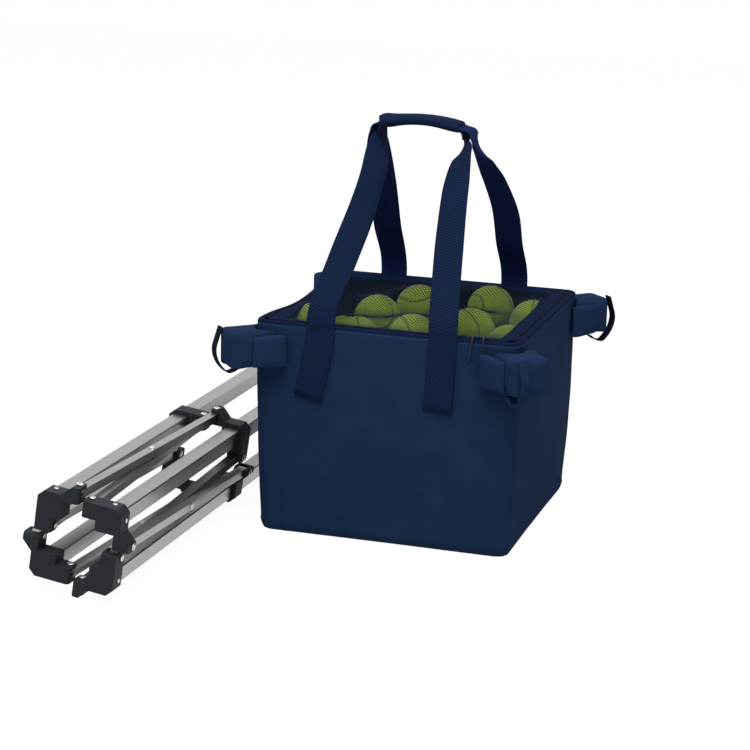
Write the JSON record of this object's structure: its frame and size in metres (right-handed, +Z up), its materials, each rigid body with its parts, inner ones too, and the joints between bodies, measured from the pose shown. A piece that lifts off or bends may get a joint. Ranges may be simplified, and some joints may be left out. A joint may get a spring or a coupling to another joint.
{
  "type": "tennis ball cart",
  "caption": "Square zipped ball bag with a mesh lid, carry handles and corner pockets, beside the folded four-leg scissor stand on casters that carries it.",
  "frame": {"origin": "centre of the bag's base, on the floor", "axes": "+X to the right along the bag's front, +Y towards its back, +Z up"},
  "size_m": [0.5964, 0.9127, 0.5556],
  "materials": {
    "navy_fabric": "matt woven nylon",
    "navy_webbing": "ribbed webbing",
    "dark_mesh": "fine net",
    "black_webbing": "ribbed webbing",
    "ball_felt": "fuzzy felt",
    "aluminium_tube": "satin anodised",
    "black_moulding": "fine grain",
    "rivet_steel": "dull",
    "slider_metal": "dull",
    "wheel_rubber": "smooth"
  },
  "bodies": {
    "bag": {"bag_front": "navy_fabric", "bag_right": "navy_fabric", "bag_back": "navy_fabric", "bag_left": "navy_fabric", "bag_base": "navy_fabric", "rim_binding": "navy_webbing", "zip_tape": "dark_mesh", "corner_pocket_front_left": "navy_fabric", "corner_pocket_front_right": "navy_fabric", "corner_pocket_back_left": "navy_fabric", "corner_pocket_back_right": "navy_fabric", "pocket_loop_front_left": "black_webbing", "pocket_loop_front_right": "black_webbing", "pocket_loop_back_left": "black_webbing", "pocket_loop_back_right": "black_webbing", "tennis_balls": "ball_felt"},
    "lid": {"mesh_lid": "dark_mesh", "lid_border": "navy_fabric"},
    "handle_front": {"front_handle": "navy_webbing", "grip_wrap": "navy_fabric"},
    "handle_back": {"back_handle": "navy_webbing"},
    "zip_left": {"zip_slider_left": "slider_metal"},
    "zip_right": {"zip_slider_right": "slider_metal"},
    "post_lower_right": {"top_bracket_lower_right": "black_moulding", "leg_lower_right": "aluminium_tube"},
    "post_lower_left": {"top_bracket_lower_left": "black_moulding", "leg_lower_left": "aluminium_tube"},
    "post_upper_right": {"top_bracket_upper_right": "black_moulding", "leg_upper_right": "aluminium_tube"},
    "post_upper_left": {"top_bracket_upper_left": "black_moulding", "leg_upper_left": "aluminium_tube"},
    "outer_bottom": {"outer_link_bottom": "aluminium_tube", "centre_rivet_bottom": "rivet_steel"},
    "inner_bottom": {"inner_link_bottom": "aluminium_tube"},
    "outer_right": {"outer_link_right": "aluminium_tube", "centre_rivet_right": "rivet_steel"},
    "inner_right": {"inner_link_right": "aluminium_tube"},
    "outer_top": {"outer_link_top": "aluminium_tube", "centre_rivet_top": "rivet_steel"},
    "inner_top": {"inner_link_top": "aluminium_tube"},
    "outer_left": {"outer_link_left": "aluminium_tube", "centre_rivet_left": "rivet_steel"},
    "inner_left": {"inner_link_left": "aluminium_tube"},
    "runner_lower_right": {"slider_lower_right": "black_moulding"},
    "runner_lower_left": {"slider_lower_left": "black_moulding"},
    "runner_upper_right": {"slider_upper_right": "black_moulding"},
    "runner_upper_left": {"slider_upper_left": "black_moulding"},
    "fork_upper_left": {"caster_fork_upper_left": "black_moulding", "caster_axle_upper_left": "rivet_steel"},
    "fork_upper_right": {"caster_fork_upper_right": "black_moulding", "caster_axle_upper_right": "rivet_steel"},
    "fork_lower_right": {"caster_fork_lower_right": "black_moulding", "caster_axle_lower_right": "rivet_steel"},
    "fork_lower_left": {"caster_fork_lower_left": "black_moulding", "caster_axle_lower_left": "rivet_steel"},
    "wheel_upper_left": {"caster_wheel_upper_left": "wheel_rubber"},
    "wheel_upper_right": {"caster_wheel_upper_right": "wheel_rubber"},
    "wheel_lower_right": {"caster_wheel_lower_right": "wheel_rubber"},
    "wheel_lower_left": {"caster_wheel_lower_left": "wheel_rubber"}
  },
  "joints": [
    {"name": "lid_hinge", "type": "hinge", "parent": "bag", "child": "lid", "pos_m": [0, 0.173, 0.2927], "axis": [-1, 0, 0], "range_deg": [0, 100], "deforming": ["mesh_lid", "lid_border"]},
    {"name": "front_handle_hinge", "type": "hinge", "parent": "bag", "child": "handle_front", "pos_m": [0, -0.18055, 0.2872], "axis": [1, 0, 0], "range_deg": [0, 110], "deforming": ["grip_wrap"]},
    {"name": "back_handle_hinge", "type": "hinge", "parent": "bag", "child": "handle_back", "pos_m": [0, 0.18055, 0.2872], "axis": [-1, 0, 0], "range_deg": [0, 110]},
    {"name": "zip_left_slide", "type": "slide", "parent": "bag", "child": "zip_left", "axis": [1, 0, 0], "range_m": [-0.26, 0], "deforming": ["zip_slider_left"]},
    {"name": "zip_right_slide", "type": "slide", "parent": "bag", "child": "zip_right", "axis": [1, 0, 0], "range_m": [0, 0.008], "deforming": ["zip_slider_right"]},
    {"name": "frame_carry", "type": "slide", "parent": "bag", "child": "post_lower_right", "axis": [-1, 0, 0], "range_m": [0, 0.175]},
    {"name": "outer_bottom_pivot", "type": "hinge", "parent": "post_lower_right", "child": "outer_bottom", "pos_m": [-0.28851, -0.49707, 0.01228], "axis": [0.1374, -0.0012, 0.9905], "range_deg": [0, 50.2]},
    {"name": "bottom_cross", "type": "hinge", "parent": "outer_bottom", "child": "inner_bottom", "pos_m": [-0.2925, -0.29717, 0.02621], "axis": [0.1374, -0.0012, 0.9905], "range_deg": [-100.4, 0]},
    {"name": "inner_bottom_pivot", "type": "hinge", "parent": "inner_bottom", "child": "post_lower_left", "pos_m": [-0.30455, -0.4968, 0.02763], "axis": [0.1374, -0.0012, 0.9905], "range_deg": [0, 50.2]},
    {"name": "runner_lower_right_pivot", "type": "hinge", "parent": "inner_bottom", "child": "runner_lower_right", "pos_m": [-0.28045, -0.09754, 0.02478], "axis": [0.1374, -0.0012, 0.9905], "range_deg": [0, 50.2]},
    {"name": "runner_lower_left_pivot", "type": "hinge", "parent": "outer_bottom", "child": "runner_lower_left", "pos_m": [-0.30006, -0.09724, 0.01438], "axis": [0.1374, -0.0012, 0.9905], "range_deg": [-50.2, 0]},
    {"name": "inner_right_pivot", "type": "hinge", "parent": "post_lower_right", "child": "inner_right", "pos_m": [-0.24443, -0.49772, 0.05715], "axis": [0.9904, -0.0157, -0.1374], "range_deg": [0, 50.2]},
    {"name": "right_cross", "type": "hinge", "parent": "inner_right", "child": "outer_right", "pos_m": [-0.22718, -0.29816, 0.06409], "axis": [0.9904, -0.0157, -0.1374], "range_deg": [-100.4, 0]},
    {"name": "outer_right_pivot", "type": "hinge", "parent": "outer_right", "child": "post_upper_right", "pos_m": [-0.22908, -0.49795, 0.07319], "axis": [0.9904, -0.0157, -0.1374], "range_deg": [0, 50.2]},
    {"name": "runner_upper_right_pivot", "type": "hinge", "parent": "inner_right", "child": "runner_upper_right", "pos_m": [-0.23568, -0.0982, 0.0746], "axis": [0.9904, -0.0157, -0.1374], "range_deg": [-50.2, 0]},
    {"name": "inner_top_pivot", "type": "hinge", "parent": "post_upper_right", "child": "inner_top", "pos_m": [-0.27394, -0.4972, 0.11728], "axis": [0.1374, -0.0012, 0.9905], "range_deg": [0, 50.2]},
    {"name": "top_cross", "type": "hinge", "parent": "inner_top", "child": "outer_top", "pos_m": [-0.27793, -0.2973, 0.1312], "axis": [0.1374, -0.0012, 0.9905], "range_deg": [-100.4, 0]},
    {"name": "outer_top_pivot", "type": "hinge", "parent": "outer_top", "child": "post_upper_left", "pos_m": [-0.28998, -0.49693, 0.13263], "axis": [0.1374, -0.0012, 0.9905], "range_deg": [0, 50.2]},
    {"name": "runner_upper_left_pivot", "type": "hinge", "parent": "inner_top", "child": "runner_upper_left", "pos_m": [-0.28549, -0.09737, 0.11938], "axis": [0.1374, -0.0012, 0.9905], "range_deg": [-50.2, 0]},
    {"name": "outer_left_pivot", "type": "hinge", "parent": "post_lower_left", "child": "outer_left", "pos_m": [-0.34941, -0.49606, 0.07172], "axis": [0.9904, -0.0157, -0.1374], "range_deg": [0, 50.2]},
    {"name": "left_cross", "type": "hinge", "parent": "outer_left", "child": "inner_left", "pos_m": [-0.33216, -0.2965, 0.07866], "axis": [0.9904, -0.0157, -0.1374], "range_deg": [-100.4, 0]},
    {"name": "swivel_upper_left", "type": "hinge", "parent": "post_upper_left", "child": "fork_upper_left", "pos_m": [-0.31011, 0.34747, 0.11678], "axis": [0.0157, 0.9999, -0.0009], "continuous": true},
    {"name": "swivel_upper_right", "type": "hinge", "parent": "post_upper_right", "child": "fork_upper_right", "pos_m": [-0.23088, 0.34622, 0.10579], "axis": [0.0157, 0.9999, -0.0009], "continuous": true},
    {"name": "swivel_lower_right", "type": "hinge", "parent": "post_lower_right", "child": "fork_lower_right", "pos_m": [-0.24187, 0.34632, 0.02655], "axis": [0.0157, 0.9999, -0.0009], "continuous": true},
    {"name": "swivel_lower_left", "type": "hinge", "parent": "post_lower_left", "child": "fork_lower_left", "pos_m": [-0.3211, 0.34757, 0.03754], "axis": [0.0157, 0.9999, -0.0009], "continuous": true},
    {"name": "spin_upper_left", "type": "hinge", "parent": "fork_upper_left", "child": "wheel_upper_left", "pos_m": [-0.30966, 0.37595, 0.10176], "axis": [0.9999, -0.0157, 0], "continuous": true},
    {"name": "spin_upper_right", "type": "hinge", "parent": "fork_upper_right", "child": "wheel_upper_right", "pos_m": [-0.23043, 0.3747, 0.09076], "axis": [0.9999, -0.0157, 0], "continuous": true},
    {"name": "spin_lower_right", "type": "hinge", "parent": "fork_lower_right", "child": "wheel_lower_right", "pos_m": [-0.22879, 0.37461, 0.01845], "axis": [0.5382, -0.0077, 0.8428], "continuous": true},
    {"name": "spin_lower_left", "type": "hinge", "parent": "fork_lower_left", "child": "wheel_lower_left", "pos_m": [-0.32066, 0.37605, 0.02251], "axis": [0.9999, -0.0157, 0], "continuous": true}
  ],
  "couplings": [
    {"joint": "outer_bottom_pivot", "follows": "frame_carry", "rad_per_m": 5},
    {"joint": "bottom_cross", "follows": "frame_carry", "rad_per_m": -10},
    {"joint": "inner_bottom_pivot", "follows": "frame_carry", "rad_per_m": 5},
    {"joint": "runner_lower_right_pivot", "follows": "frame_carry", "rad_per_m": 5},
    {"joint": "runner_lower_left_pivot", "follows": "frame_carry", "rad_per_m": -5},
    {"joint": "inner_right_pivot", "follows": "frame_carry", "rad_per_m": 5},
    {"joint": "right_cross", "follows": "frame_carry", "rad_per_m": -10},
    {"joint": "outer_right_pivot", "follows": "frame_carry", "rad_per_m": 5},
    {"joint": "runner_upper_right_pivot", "follows": "frame_carry", "rad_per_m": -5},
    {"joint": "inner_top_pivot", "follows": "frame_carry", "rad_per_m": 5},
    {"joint": "top_cross", "follows": "frame_carry", "rad_per_m": -10},
    {"joint": "outer_top_pivot", "follows": "frame_carry", "rad_per_m": 5},
    {"joint": "runner_upper_left_pivot", "follows": "frame_carry", "rad_per_m": -5},
    {"joint": "outer_left_pivot", "follows": "frame_carry", "rad_per_m": 5},
    {"joint": "left_cross", "follows": "frame_carry", "rad_per_m": -10},
    {"joint": "back_handle_hinge", "follows": "front_handle_hinge", "ratio": 1}
  ]
}
